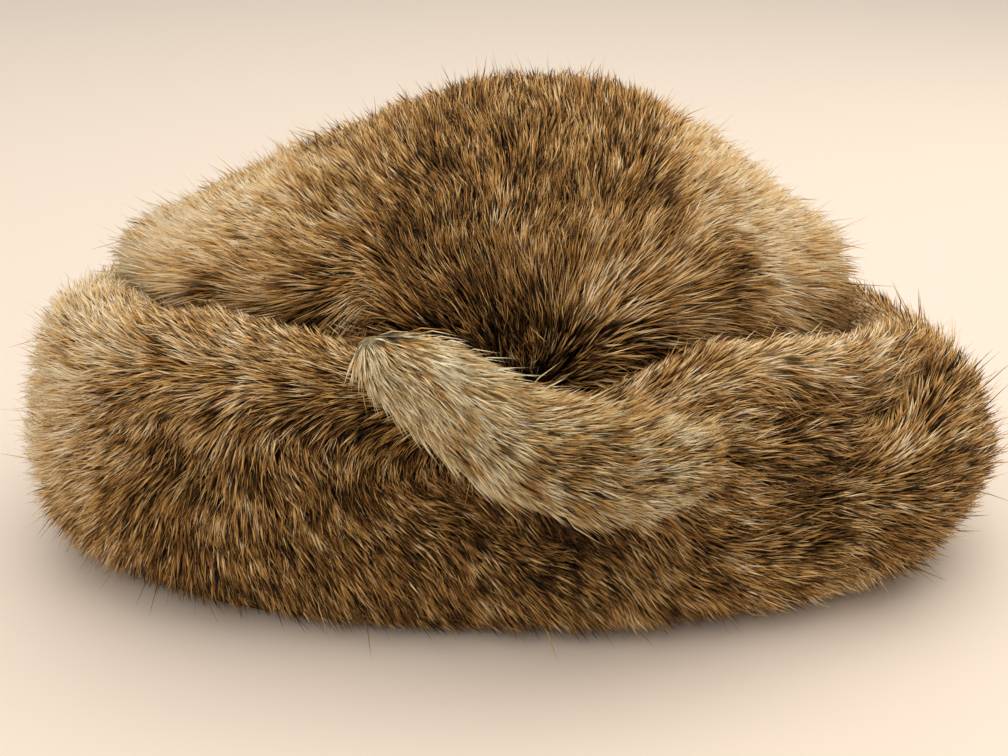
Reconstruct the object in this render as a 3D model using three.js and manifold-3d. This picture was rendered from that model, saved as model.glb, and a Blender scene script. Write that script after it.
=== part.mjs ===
// A soft fur hat: a domed crown of pelt that stands up inside a deep turned-up cuff, with a pale flap of the
// cuff folded over in front. It rests on its rim, mouth down.
// Millimetres, +Z up, the front towards -Y. The origin is under the middle of the hat, on the surface it
// rests on. Angles are in degrees, anticlockwise from the wearer's left (+X) as seen from above, so the front
// is at 270.
import * as THREE from "three";
import { ParametricGeometry } from "three/addons/geometries/ParametricGeometry.js";
import { mergeVertices } from "three/addons/utils/BufferGeometryUtils.js";
import Module from "manifold-3d";

const wasm = await Module();
wasm.setup();

// Driving dimensions
const HIDE = 2; // skin of the pelt
const GAP = 1; // kept between the skin and the fur over it
const OPENING = { halfWidth: 104, halfDepth: 62, squareness: 2.6 }; // inside of the cuff
const FIRST_FURRED_ROW = 2; // row of the crown's table where its standing fur begins
const BACK_OF_MIDDLE = 6.2; // the opening's axis behind the middle of the hat

// The crown from its rim to its top. Each row is one level section: its height, its reach to each side of the
// opening's axis, its squareness, and the depth of the fur over the skin.
const CROWN_ROWS = [
  { z: 3, left: -100, right: 100, front: -58, back: 58, squareness: 2.6, coat: 0 },
  { z: 34, left: -100, right: 100, front: -58, back: 58, squareness: 2.6, coat: 0 },
  { z: 60, left: -101, right: 101, front: -59, back: 59, squareness: 2.6, coat: 3 },
  { z: 77, left: -103, right: 103, front: -61, back: 66, squareness: 2.5, coat: 10 },
  { z: 90, left: -114, right: 102, front: -58, back: 66, squareness: 2.4, coat: 15 },
  { z: 106, left: -94, right: 89, front: -49, back: 58, squareness: 2.3, coat: 16 },
  { z: 120, left: -64, right: 71, front: -37, back: 47, squareness: 2.2, coat: 16 },
  { z: 132, left: -35, right: 52, front: -22, back: 34, squareness: 2.1, coat: 16 },
  { z: 140, left: -12, right: 34, front: -8, back: 20, squareness: 2, coat: 16 },
  { z: 143, left: 10, right: 10, front: 6, back: 6, squareness: 2, coat: 16 },
];

// The cuff round the opening: how far it reaches outwards, the height of its crest, and how far its outer
// edge curls up off the table.
const CUFF_ROWS = [
  { at: 0, reach: 44, top: 70, curl: 5 },
  { at: 30, reach: 38, top: 69, curl: 3 },
  { at: 60, reach: 34, top: 71, curl: 2 },
  { at: 90, reach: 33, top: 74, curl: 2 },
  { at: 120, reach: 34, top: 75, curl: 2 },
  { at: 150, reach: 38, top: 77, curl: 3 },
  { at: 180, reach: 46, top: 83, curl: 4 },
  { at: 200, reach: 50, top: 90, curl: 6 },
  { at: 222, reach: 44, top: 93, curl: 9 },
  { at: 245, reach: 37, top: 84, curl: 7 },
  { at: 270, reach: 35, top: 71, curl: 3 },
  { at: 288, reach: 37, top: 73, curl: 1 },
  { at: 312, reach: 43, top: 86, curl: 6 },
  { at: 338, reach: 52, top: 80, curl: 8 },
];

// The cuff's cross section, as shares of its reach and of its crest's height, from the edge of the flat rest
// up the outer face, over the crest and down to the lip beside the crown.
const CUFF_PROFILE = [
  { across: 0.56, up: 0 },
  { across: 0.82, up: 0.05 },
  { across: 0.96, up: 0.18 },
  { across: 1, up: 0.36 },
  { across: 0.97, up: 0.56 },
  { across: 0.88, up: 0.76 },
  { across: 0.72, up: 0.92 },
  { across: 0.48, up: 1 },
  { across: 0.2, up: 0.96 },
  { across: 0, up: 0.84 },
];
const SECTION_CORE = { across: 0.45, up: 0.5 }; // folds push the surface in towards this point
const FOLDED_GIRTH = { from: 0.08, to: 0.95 }; // the part of the girth that folds move
const FACE_LENGTH = 120; // from the flat rest over the crest to the lip
const ROUND_RADIUS = { folds: 125, locks: 135, flap: 105 }; // turns an angle round the cuff into a length

// Folds and swells of the cuff, each along a line from one place to another. Girth runs from 0 at the flat
// rest to 1 at the lip; a negative depth is a swell.
const CUFF_FOLDS = [
  { fold: "right crease", at: 331, girth: 0.66, toAt: 312, toGirth: 0.33, width: 9, depth: 10 },
  { fold: "under the right crest", at: 312, girth: 0.6, toAt: 328, toGirth: 0.64, width: 8, depth: 7 },
  { fold: "right end swell", at: 344, girth: 0.4, toAt: 330, toGirth: 0.3, width: 20, depth: -3 },
  { fold: "hollow under the flap", at: 262, girth: 0.5, toAt: 294, toGirth: 0.34, width: 10, depth: 5 },
  { fold: "left tuck", at: 196, girth: 0.52, toAt: 224, toGirth: 0.46, width: 10, depth: 4 },
  { fold: "left groove", at: 205, girth: 0.8, toAt: 214, toGirth: 0.9, width: 9, depth: 6 },
  { fold: "back seam", at: 112, girth: 0.1, toAt: 112, toGirth: 0.9, width: 8, depth: 4 },
];

// The pale flap lying on the cuff's front: its centre line, half its width and its thickness.
const FLAP_ROWS = [
  { at: 243, girth: 0.79, half: 6, thick: 6 },
  { at: 251, girth: 0.735, half: 15, thick: 13 },
  { at: 264, girth: 0.67, half: 16, thick: 15 },
  { at: 277, girth: 0.615, half: 16, thick: 15 },
  { at: 290, girth: 0.57, half: 15, thick: 13 },
  { at: 303, girth: 0.55, half: 7, thick: 6 },
];
const FLAP_SEAT = 1.4; // between the flap and the cuff

// The way the cuff's hair lies: degrees from straight down, positive towards growing angles.
const CUFF_LIE = [
  { at: 0, lean: 70 },
  { at: 45, lean: 50 },
  { at: 90, lean: 25 },
  { at: 120, lean: -10 },
  { at: 150, lean: -55 },
  { at: 180, lean: -80 },
  { at: 200, lean: -75 },
  { at: 222, lean: 0 },
  { at: 245, lean: 45 },
  { at: 270, lean: 58 },
  { at: 300, lean: 62 },
  { at: 335, lean: 75 },
];

// Rows of locks, each by how far up the surface its roots are and how many stand in it.
const CUFF_LOCK_ROWS = [
  { girth: 0.28, count: 22 },
  { girth: 0.43, count: 22 },
  { girth: 0.58, count: 22 },
  { girth: 0.71, count: 20 },
];
const CROWN_LOCK_ROWS = [
  { level: 0.5, count: 18 },
  { level: 0.6, count: 16 },
  { level: 0.71, count: 14 },
  { level: 0.82, count: 9 },
  { level: 0.92, count: 4 },
];
const FLAP_LOCK_ROWS = [
  { along: 0.22, count: 3 },
  { along: 0.45, count: 4 },
  { along: 0.68, count: 4 },
];
const LOCK = { length: 29, halfWidth: 8, halfThick: 3.2, bury: 4, rise: 2.8, lowestGirth: 0.17 };
const BEND_RADIUS = 75; // how quickly the crown curves away under a lock
const LOWEST_CROWN_TIP = 82; // keeps the crown's locks out of the groove inside the cuff
const CROWN_PARTING = new THREE.Vector3(4, -59.8, 78); // the crown's hair sweeps away from this pucker

const FUR_DARK = new THREE.MeshStandardMaterial({ color: 0x6b4a2b, roughness: 0.95, metalness: 0 });
const FUR_TAN = new THREE.MeshStandardMaterial({ color: 0x8a6238, roughness: 0.95, metalness: 0 });
const FUR_PALE = new THREE.MeshStandardMaterial({ color: 0xb09a72, roughness: 0.95, metalness: 0 });
const SKIN = new THREE.MeshStandardMaterial({ color: 0xb99c78, roughness: 0.9, metalness: 0 });

// Value of a smooth curve through four neighbouring table values, between the middle two
function throughFour(a, b, c, d, t) {
  const slope = (c - a) * t;
  const bend = (2 * a - 5 * b + 4 * c - d) * t * t;
  const twist = (3 * b - a - 3 * c + d) * t * t * t;
  return b + 0.5 * (slope + bend + twist);
}

// A column of a table read at a share of its length, from 0 at the first row to 1 at the last
function readAlong(rows, column, share) {
  const place = THREE.MathUtils.clamp(share, 0, 1) * (rows.length - 1);
  const i = Math.min(Math.floor(place), rows.length - 2);
  const value = (k) => rows[THREE.MathUtils.clamp(k, 0, rows.length - 1)][column];
  return throughFour(value(i - 1), value(i), value(i + 1), value(i + 2), place - i);
}

// A column of a table whose rows go once round the hat, read at an angle
function readRound(rows, column, angle) {
  const turn = THREE.MathUtils.euclideanModulo(angle, 360);
  const count = rows.length;
  const next = rows.findIndex((row) => row.at > turn);
  const i = (next < 0 ? count : next) - 1;
  const start = rows[i].at;
  const end = i + 1 < count ? rows[i + 1].at : rows[0].at + 360;
  const value = (k) => rows[(k + count) % count][column];
  return throughFour(value(i - 1), value(i), value(i + 1), value(i + 2), (turn - start) / (end - start));
}

// Radius of a rounded oval with these half axes, at an angle
function ovalRadius(angle, halfWidth, halfDepth, squareness) {
  const a = THREE.MathUtils.degToRad(angle);
  const x = Math.abs(Math.cos(a)) / halfWidth;
  const y = Math.abs(Math.sin(a)) / halfDepth;
  return (x ** squareness + y ** squareness) ** (-1 / squareness);
}

function fromAxis(angle, radius, z) {
  const a = THREE.MathUtils.degToRad(angle);
  return new THREE.Vector3(radius * Math.cos(a), BACK_OF_MIDDLE + radius * Math.sin(a), z);
}

// Outer surface of the crown's fur at an angle and a share of its height
function crownAt(angle, level) {
  const column = (name) => readAlong(CROWN_ROWS, name, level);
  const halfWidth = Math.max((column("right") - column("left")) / 2, 0);
  const halfDepth = Math.max((column("back") - column("front")) / 2, 0);
  const point = new THREE.Vector3(0, 0, column("z"));
  if (halfWidth > 0 && halfDepth > 0) {
    const radius = ovalRadius(angle, halfWidth, halfDepth, column("squareness"));
    point.copy(fromAxis(angle, radius, column("z")));
  } else {
    point.y = BACK_OF_MIDDLE;
  }
  point.x += (column("right") + column("left")) / 2;
  point.y += (column("back") + column("front")) / 2;
  return point;
}

// How far the folds move the cuff's surface outwards at an angle and girth
function swellAt(angle, girth) {
  if (girth <= FOLDED_GIRTH.from || girth >= FOLDED_GIRTH.to) return 0;
  const flat = (at, along) =>
    new THREE.Vector2(THREE.MathUtils.degToRad(at) * ROUND_RADIUS.folds, along * FACE_LENGTH);
  let swell = 0;
  for (const row of CUFF_FOLDS) {
    const from = flat(row.at, row.girth);
    const line = flat(row.toAt, row.toGirth).sub(from);
    const here = flat(angle, girth).sub(from);
    const share = line.lengthSq() > 0 ? THREE.MathUtils.clamp(here.dot(line) / line.lengthSq(), 0, 1) : 0;
    const distance = here.sub(line.multiplyScalar(share)).length();
    swell -= row.depth * Math.exp(-((distance / row.width) ** 2));
  }
  return swell;
}

// Outer face of the cuff at an angle and girth
function cuffAt(angle, girth) {
  const turn = THREE.MathUtils.euclideanModulo(angle, 360);
  const inner = ovalRadius(turn, OPENING.halfWidth, OPENING.halfDepth, OPENING.squareness);
  const reach = readRound(CUFF_ROWS, "reach", turn);
  const top = readRound(CUFF_ROWS, "top", turn);
  const across = readAlong(CUFF_PROFILE, "across", girth);
  const up = readAlong(CUFF_PROFILE, "up", girth);
  const restEdge = CUFF_PROFILE[0].across;
  const lifted = Math.max(0, (across - restEdge) / (1 - restEdge)) * (1 - up);
  const curled = readRound(CUFF_ROWS, "curl", turn) * lifted;
  const outward = new THREE.Vector2((across - SECTION_CORE.across) * reach, (up - SECTION_CORE.up) * top);
  outward.normalize().multiplyScalar(swellAt(turn, girth));
  const z = Math.max(0, up * top + curled + outward.y);
  return fromAxis(turn, inner + across * reach + outward.x, z);
}

// Outward normal of a surface of two parameters, from small steps each way
function normalOf(surface, a, b, stepA, stepB) {
  const alongA = surface(a + stepA, b).sub(surface(a - stepA, b));
  const alongB = surface(a, Math.min(b + stepB, 1)).sub(surface(a, Math.max(b - stepB, 0)));
  return alongA.cross(alongB).normalize();
}
const STEP_ANGLE = 1;
const STEP_SHARE = 0.01;
const crownNormal = (angle, level) =>
  level > 0.985 ? new THREE.Vector3(0, 0, 1) : normalOf(crownAt, angle, level, STEP_ANGLE, STEP_SHARE);
const cuffNormal = (angle, girth) => normalOf(cuffAt, angle, girth, STEP_ANGLE, STEP_SHARE);

// Crown surface moved in through the fur towards the skin
function underCrown(angle, level, deeper) {
  const depth = Math.max(readAlong(CROWN_ROWS, "coat", level), 0) + deeper;
  return crownAt(angle, level).addScaledVector(crownNormal(angle, level), -depth);
}

// A closed solid from a geometry, with shared corners merged and collapsed triangles dropped
function solidOf(geometry) {
  geometry.deleteAttribute("normal");
  geometry.deleteAttribute("uv");
  const merged = mergeVertices(geometry, 1e-3);
  const corners = merged.index.array;
  const kept = [];
  for (let i = 0; i < corners.length; i += 3) {
    const [a, b, c] = corners.slice(i, i + 3);
    if (a !== b && b !== c && a !== c) kept.push(a, b, c);
  }
  const vertProperties = new Float32Array(merged.attributes.position.array);
  const closed = (triangles) =>
    new wasm.Manifold(new wasm.Mesh({ numProp: 3, vertProperties, triVerts: new Uint32Array(triangles) }));
  const solid = closed(kept);
  return solid.volume() > 0 ? solid : closed(kept.reverse());
}

// A solid swept round the hat: section(angle, i) gives the closed outline's point i of count
function sweptRound(around, count, section) {
  const point = (u, v, target) => target.copy(section(u >= 1 ? 0 : u * 360, Math.round(v * count) % count));
  return solidOf(new ParametricGeometry(point, around, count));
}

// A dome-shaped wall between two surfaces of angle and level, open below and closed at the top, from one row
// of the crown's table upwards
function domeWall(around, firstRow, outer, inner) {
  const steps = CROWN_ROWS.length - 1 - firstRow;
  const rows = 2 * steps + 1;
  const point = (u, v, target) => {
    const i = Math.round(v * rows);
    const step = i <= steps ? steps - i : i - steps - 1;
    const angle = u >= 1 || step === steps ? 0 : u * 360;
    const level = (firstRow + step) / (CROWN_ROWS.length - 1);
    target.copy(i <= steps ? inner(angle, level) : outer(angle, level));
  };
  return solidOf(new ParametricGeometry(point, around, rows));
}

// A flattened, tapering lock of hair that follows a surface. trail(share) gives the point and normal under
// it.
const TRAIL_STEP = 0.25;
function lockSolid(trail, size) {
  const cone = new THREE.ConeGeometry(1, 1, 4, 2);
  const places = cone.attributes.position;
  for (let i = 0; i < places.count; i += 1) {
    const share = places.getY(i) + 0.5;
    const { point, normal } = trail(share);
    const behind = Math.min(share, 1 - TRAIL_STEP);
    const ahead = trail(behind + TRAIL_STEP).point.sub(trail(behind).point);
    const side = new THREE.Vector3().crossVectors(ahead, normal).normalize();
    const height = -LOCK.bury + (LOCK.bury + LOCK.rise) * Math.sqrt(share);
    point.addScaledVector(normal, size * height + places.getZ(i) * size * LOCK.halfThick);
    point.addScaledVector(side, places.getX(i) * size * LOCK.halfWidth * (1 + 0.5 * share));
    places.setXYZ(i, point.x, point.y, point.z);
  }
  return solidOf(cone);
}

// Even spread of small differences between one lock and the next
const varied = (index, low, high) => low + (high - low) * ((index * 0.61803) % 1);

function cuffLocks() {
  const locks = [];
  for (const [rowIndex, row] of CUFF_LOCK_ROWS.entries()) {
    for (let i = 0; i < row.count; i += 1) {
      const index = rowIndex * 31 + i;
      const angle = ((i + 0.5 * (rowIndex % 2)) * 360) / row.count + varied(index, -4, 4);
      if (underFlap(angle, row.girth)) continue;
      const size = varied(index, 0.85, 1.15);
      const lean = THREE.MathUtils.degToRad(readRound(CUFF_LIE, "lean", angle));
      const turned = THREE.MathUtils.radToDeg((Math.sin(lean) * LOCK.length * size) / ROUND_RADIUS.locks);
      const downward = (Math.cos(lean) * LOCK.length * size) / FACE_LENGTH;
      const dropped = Math.min(downward, row.girth - LOCK.lowestGirth);
      locks.push(
        lockSolid((share) => {
          const at = angle + turned * share;
          const girth = row.girth - dropped * share;
          return { point: cuffAt(at, girth), normal: cuffNormal(at, girth) };
        }, size),
      );
    }
  }
  return locks;
}

function crownLocks() {
  const locks = [];
  for (const [rowIndex, row] of CROWN_LOCK_ROWS.entries()) {
    for (let i = 0; i < row.count; i += 1) {
      const index = rowIndex * 17 + i;
      const angle = ((i + 0.5 * (rowIndex % 2)) * 360) / row.count + varied(index, -5, 5);
      const size = varied(index, 0.85, 1.15);
      const root = crownAt(angle, row.level);
      const normal = crownNormal(angle, row.level);
      const sweep = root.clone().sub(CROWN_PARTING);
      sweep.addScaledVector(normal, -sweep.dot(normal)).normalize();
      const side = new THREE.Vector3().crossVectors(sweep, normal);
      if (root.z + sweep.z * LOCK.length * size < LOWEST_CROWN_TIP) continue;
      locks.push(
        lockSolid((share) => {
          const bend = (share * LOCK.length * size) / BEND_RADIUS;
          const point = root.clone().addScaledVector(sweep, BEND_RADIUS * Math.sin(bend));
          point.addScaledVector(normal, -BEND_RADIUS * (1 - Math.cos(bend)));
          return { point, normal: normal.clone().applyAxisAngle(side, -bend) };
        }, size),
      );
    }
  }
  return locks;
}

// Place on the flap's bed on the cuff: along from 0 to 1, across from -1 at its lower edge to 1 at its upper
// edge
function flapBed(along, across) {
  const middle = (share) =>
    new THREE.Vector2(
      THREE.MathUtils.degToRad(readAlong(FLAP_ROWS, "at", share)) * ROUND_RADIUS.flap,
      readAlong(FLAP_ROWS, "girth", share) * FACE_LENGTH,
    );
  const ahead = middle(Math.min(along + 0.05, 1)).sub(middle(Math.max(along - 0.05, 0))).normalize();
  const sideways = new THREE.Vector2(-ahead.y, ahead.x);
  const place = middle(along).addScaledVector(sideways, across * readAlong(FLAP_ROWS, "half", along));
  const angle = THREE.MathUtils.radToDeg(place.x / ROUND_RADIUS.flap);
  const girth = THREE.MathUtils.clamp(place.y / FACE_LENGTH, 0.02, 0.98);
  return { point: cuffAt(angle, girth), normal: cuffNormal(angle, girth) };
}

// How much of the flap's width and thickness is left towards its ends
const flapEnds = (along) => Math.sqrt(Math.max(0, 1 - (2 * along - 1) ** 6));

// Thickness of the flap's pad: full along its middle, thin at its edges and ends
function flapThickness(along, across) {
  const edges = Math.max(0, 1 - across ** 2) ** 0.35;
  return readAlong(FLAP_ROWS, "thick", along) * flapEnds(along) * edges;
}

function flapAt(along, across, height) {
  const { point, normal } = flapBed(along, across);
  return point.addScaledVector(normal, FLAP_SEAT + height);
}

// Locks lie along the flap, their tips towards its right end
function flapLocks() {
  const locks = [];
  for (const [rowIndex, row] of FLAP_LOCK_ROWS.entries()) {
    for (let i = 0; i < row.count; i += 1) {
      const across = -0.6 + (1.2 * (i + 0.5 * (rowIndex % 2))) / row.count;
      const surface = (along, over) => flapAt(along, over, flapThickness(along, over));
      locks.push(
        lockSolid((share) => {
          const along = Math.min(row.along + 0.26 * share, 0.95);
          return { point: surface(along, across), normal: flapBed(along, across).normal };
        }, 0.75),
      );
    }
  }
  return locks;
}

function underFlap(angle, girth) {
  const MARGIN = 0.2;
  if (angle < FLAP_ROWS[0].at - 8 || angle > FLAP_ROWS.at(-1).at + 2) return false;
  const share = (angle - FLAP_ROWS[0].at) / (FLAP_ROWS.at(-1).at - FLAP_ROWS[0].at);
  return girth > readAlong(FLAP_ROWS, "girth", share) - MARGIN;
}

function mesh(name, solid, material) {
  const made = solid.getMesh();
  const geometry = new THREE.BufferGeometry();
  geometry.setAttribute("position", new THREE.BufferAttribute(new Float32Array(made.vertProperties), 3));
  geometry.setIndex(new THREE.BufferAttribute(new Uint32Array(made.triVerts), 1));
  geometry.computeVertexNormals();
  const result = new THREE.Mesh(geometry, material);
  result.name = name;
  return result;
}

// Skin of the crown: a thin hollow dome, open below
function crownHide() {
  const outer = (angle, level) => underCrown(angle, level, GAP);
  const inner = (angle, level) => underCrown(angle, level, GAP + HIDE);
  return domeWall(40, 0, outer, inner);
}

// Fur of the crown: a coat over the skin with locks on it
function crownFur() {
  const coat = domeWall(40, FIRST_FURRED_ROW, crownAt, (angle, level) => underCrown(angle, level, 0));
  return wasm.Manifold.union([coat, ...crownLocks()]);
}

// The cuff: a thick ring of pelt turned up round the crown, flat where it rests, with locks on its outer face
function cuff() {
  const faces = CUFF_PROFILE.length;
  const ring = sweptRound(56, faces + 1, (angle, i) =>
    i < faces
      ? cuffAt(angle, i / (faces - 1))
      : fromAxis(angle, ovalRadius(angle, OPENING.halfWidth, OPENING.halfDepth, OPENING.squareness), 0),
  );
  return wasm.Manifold.union([ring, ...cuffLocks()]);
}

// The flap: a soft pad over its bed on the cuff, rounded across and pointed at both ends
function frontFlap() {
  const LENGTHS = 14;
  const SIDES = 10;
  const POLE_HEIGHT = 1;
  const point = (u, v, target) => {
    const turn = 2 * Math.PI * (v >= 1 ? 0 : v);
    const along = THREE.MathUtils.clamp(u, 0.002, 0.998);
    const pole = u <= 0 || u >= 1;
    const across = pole ? 0 : Math.cos(turn) * flapEnds(u);
    const rise = readAlong(FLAP_ROWS, "thick", along) * flapEnds(u) * Math.max(0, Math.sin(turn)) ** 0.7;
    target.copy(flapAt(along, across, pole ? POLE_HEIGHT : rise));
  };
  const pad = solidOf(new ParametricGeometry(point, LENGTHS, SIDES));
  return wasm.Manifold.union([pad, ...flapLocks()]);
}

const hat = new THREE.Group();
hat.add(mesh("crown_hide", crownHide(), SKIN));
hat.add(mesh("crown_fur", crownFur(), FUR_DARK));
hat.add(mesh("cuff", cuff(), FUR_TAN));
hat.add(mesh("front_flap", frontFlap(), FUR_PALE));

export default hat;
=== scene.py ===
# %% [markdown]
# A soft fur hat
#
# This lesson dresses a fur hat that stands on its rim: a low domed crown inside a deep turned-up
# cuff, with a pale flap of fur folded over the front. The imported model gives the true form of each
# piece. Here each piece of fur gets a dense undercoat and, growing out of it, tens of thousands of
# real strands made by one Geometry Nodes tree.

# %% Load the frame
import math

import bpy
import numpy as np
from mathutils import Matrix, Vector, noise


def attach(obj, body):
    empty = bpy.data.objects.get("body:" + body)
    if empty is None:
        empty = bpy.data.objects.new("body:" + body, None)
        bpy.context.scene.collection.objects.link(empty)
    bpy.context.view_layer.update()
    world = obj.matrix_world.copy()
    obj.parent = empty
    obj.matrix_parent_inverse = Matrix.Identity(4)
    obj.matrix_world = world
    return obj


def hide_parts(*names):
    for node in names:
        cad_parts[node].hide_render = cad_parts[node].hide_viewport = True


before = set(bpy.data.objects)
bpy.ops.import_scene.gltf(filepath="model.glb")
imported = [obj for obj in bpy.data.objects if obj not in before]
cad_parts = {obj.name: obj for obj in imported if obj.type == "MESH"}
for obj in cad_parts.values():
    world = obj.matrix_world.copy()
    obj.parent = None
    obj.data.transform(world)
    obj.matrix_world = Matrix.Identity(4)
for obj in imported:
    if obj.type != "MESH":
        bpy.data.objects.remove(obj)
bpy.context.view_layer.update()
MM = 0.001
print("pieces of the frame:", sorted(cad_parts))

# %% [markdown]
# The form of the hat
#
# The fur follows the same sections as the solids, so the tables below repeat them in millimetres.
# The crown is a stack of level ovals. The cuff is one cross section swept round the opening, with
# its reach and height changing on the way, and a few folds pressed into it. Angles are
# anticlockwise from +X seen from above, so the front is at 270.

# %% Sections of the crown, the cuff and the flap
OPENING = {"half_width": 104, "half_depth": 62, "squareness": 2.6}
BACK_OF_MIDDLE = 6.2
FIRST_FURRED_ROW = 2
CROWN_COLUMNS = ("z", "left", "right", "front", "back", "squareness", "coat")
CROWN_ROWS = (
    (3, -100, 100, -58, 58, 2.6, 0),
    (34, -100, 100, -58, 58, 2.6, 0),
    (60, -101, 101, -59, 59, 2.6, 3),
    (77, -103, 103, -61, 66, 2.5, 10),
    (90, -114, 102, -58, 66, 2.4, 15),
    (106, -94, 89, -49, 58, 2.3, 16),
    (120, -64, 71, -37, 47, 2.2, 16),
    (132, -35, 52, -22, 34, 2.1, 16),
    (140, -12, 34, -8, 20, 2.0, 16),
    (143, 10, 10, 6, 6, 2.0, 16),
)
CUFF_COLUMNS = ("at", "reach", "top", "curl")
CUFF_ROWS = (
    (0, 44, 70, 5),
    (30, 38, 69, 3),
    (60, 34, 71, 2),
    (90, 33, 74, 2),
    (120, 34, 75, 2),
    (150, 38, 77, 3),
    (180, 46, 83, 4),
    (200, 50, 90, 6),
    (222, 44, 93, 9),
    (245, 37, 84, 7),
    (270, 35, 71, 3),
    (288, 37, 73, 1),
    (312, 43, 86, 6),
    (338, 52, 80, 8),
)
PROFILE_COLUMNS = ("across", "up")
CUFF_PROFILE = (
    (0.56, 0), (0.82, 0.05), (0.96, 0.18), (1, 0.36), (0.97, 0.56),
    (0.88, 0.76), (0.72, 0.92), (0.48, 1), (0.2, 0.96), (0, 0.84),
)
SECTION_CORE = (0.45, 0.5)
FOLD_COLUMNS = ("at", "girth", "to_at", "to_girth", "width", "depth")
CUFF_FOLDS = {
    "right crease": (331, 0.66, 312, 0.33, 9, 10),
    "under the right crest": (312, 0.6, 328, 0.64, 8, 7),
    "right end swell": (344, 0.4, 330, 0.3, 20, -3),
    "hollow under the flap": (262, 0.5, 294, 0.34, 10, 5),
    "left tuck": (196, 0.52, 224, 0.46, 10, 4),
    "left groove": (205, 0.8, 214, 0.9, 9, 6),
    "back seam": (112, 0.1, 112, 0.9, 8, 4),
}
FLAP_COLUMNS = ("at", "girth", "half", "thick")
FLAP_ROWS = (
    (243, 0.79, 6, 6),
    (251, 0.735, 15, 13),
    (264, 0.67, 16, 15),
    (277, 0.615, 16, 15),
    (290, 0.57, 15, 13),
    (303, 0.55, 7, 6),
)
FLAP_SEAT = 1.4
FACE_LENGTH = 120
MEAN_RADIUS = 125
FLAP_RADIUS = 105


def table(columns, rows):
    return {name: np.array([row[i] for row in rows], float) for i, name in enumerate(columns)}


CROWN = table(CROWN_COLUMNS, CROWN_ROWS)
CUFF = table(CUFF_COLUMNS, CUFF_ROWS)
PROFILE = table(PROFILE_COLUMNS, CUFF_PROFILE)
FOLDS = table(FOLD_COLUMNS, CUFF_FOLDS.values())
FLAP = table(FLAP_COLUMNS, FLAP_ROWS)
print("folds in the cuff:", ", ".join(CUFF_FOLDS))

# %% [markdown]
# Reading the tables smoothly
#
# A curve through four neighbouring values keeps the forms round between the rows. One reader runs
# along a table from end to end, and the other goes round the hat and closes on itself.

# %% Smooth readers
def through_four(a, b, c, d, t):
    slope = (c - a) * t
    bend = (2 * a - 5 * b + 4 * c - d) * t * t
    twist = (3 * b - a - 3 * c + d) * t**3
    return b + 0.5 * (slope + bend + twist)


def read_along(values, share):
    last = len(values) - 1
    place = np.clip(share, 0, 1) * last
    i = np.minimum(np.floor(place), last - 1).astype(int)
    near = [values[np.clip(i + k, 0, last)] for k in (-1, 0, 1, 2)]
    return through_four(*near, place - i)


def read_round(at, values, angle):
    turn = np.mod(angle, 360)
    count = len(at)
    i = np.searchsorted(at, turn, side="right") - 1
    ends = np.append(at, at[0] + 360)
    near = [values[np.mod(i + k, count)] for k in (-1, 0, 1, 2)]
    return through_four(*near, (turn - ends[i]) / (ends[i + 1] - ends[i]))


def oval_radius(angle, half_width, half_depth, squareness):
    a = np.radians(angle)
    x = np.abs(np.cos(a)) / half_width
    y = np.abs(np.sin(a)) / half_depth
    return (x**squareness + y**squareness) ** (-1 / squareness)


def unit(vectors):
    return vectors / np.maximum(np.linalg.norm(vectors, axis=-1, keepdims=True), 1e-9)


# %% [markdown]
# The two surfaces
#
# The outer face of the crown is a function of angle and level, and the outer face of the cuff one
# of angle and girth, which runs from the flat rest up over the crest to the lip beside the crown.
# Normals come from small steps.

# %% Crown and cuff as functions
def crown_at(angle, level):
    row = {name: read_along(values, level) for name, values in CROWN.items()}
    half_width = np.maximum((row["right"] - row["left"]) / 2, 1e-3)
    half_depth = np.maximum((row["back"] - row["front"]) / 2, 1e-3)
    radius = oval_radius(angle, half_width, half_depth, row["squareness"])
    a = np.radians(angle)
    x = (row["right"] + row["left"]) / 2 + radius * np.cos(a)
    y = BACK_OF_MIDDLE + (row["back"] + row["front"]) / 2 + radius * np.sin(a)
    return np.stack(np.broadcast_arrays(x, y, row["z"]), -1)


def swell_at(angle, girth):
    swell = np.zeros(np.broadcast(angle, girth).shape)
    for k in range(len(CUFF_FOLDS)):
        fold = {name: values[k] for name, values in FOLDS.items()}
        across = np.radians(np.mod(angle, 360) - fold["at"]) * MEAN_RADIUS
        along = (girth - fold["girth"]) * FACE_LENGTH
        line_across = math.radians(fold["to_at"] - fold["at"]) * MEAN_RADIUS
        line_along = (fold["to_girth"] - fold["girth"]) * FACE_LENGTH
        share = (across * line_across + along * line_along) / (line_across**2 + line_along**2)
        share = np.clip(share, 0, 1)
        distance = np.hypot(across - share * line_across, along - share * line_along)
        swell = swell - fold["depth"] * np.exp(-((distance / fold["width"]) ** 2))
    return swell


def cuff_at(angle, girth):
    angle, girth = np.broadcast_arrays(np.asarray(angle, float), np.asarray(girth, float))
    inner = oval_radius(angle, OPENING["half_width"], OPENING["half_depth"], OPENING["squareness"])
    reach, top, curl = (read_round(CUFF["at"], CUFF[name], angle) for name in ("reach", "top", "curl"))
    across, up = read_along(PROFILE["across"], girth), read_along(PROFILE["up"], girth)
    curled = curl * np.maximum(0, (across - 0.56) / 0.44) * (1 - up)
    push = np.stack([(across - SECTION_CORE[0]) * reach, (up - SECTION_CORE[1]) * top], -1)
    fade = np.clip((girth - 0.04) / 0.08, 0, 1) * np.clip((0.99 - girth) / 0.08, 0, 1)
    push = unit(push) * (swell_at(angle, girth) * fade)[..., None]
    radius = inner + across * reach + push[..., 0]
    z = np.maximum(0, up * top + curled + push[..., 1])
    a = np.radians(angle)
    return np.stack([radius * np.cos(a), BACK_OF_MIDDLE + radius * np.sin(a), z], -1)


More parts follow.
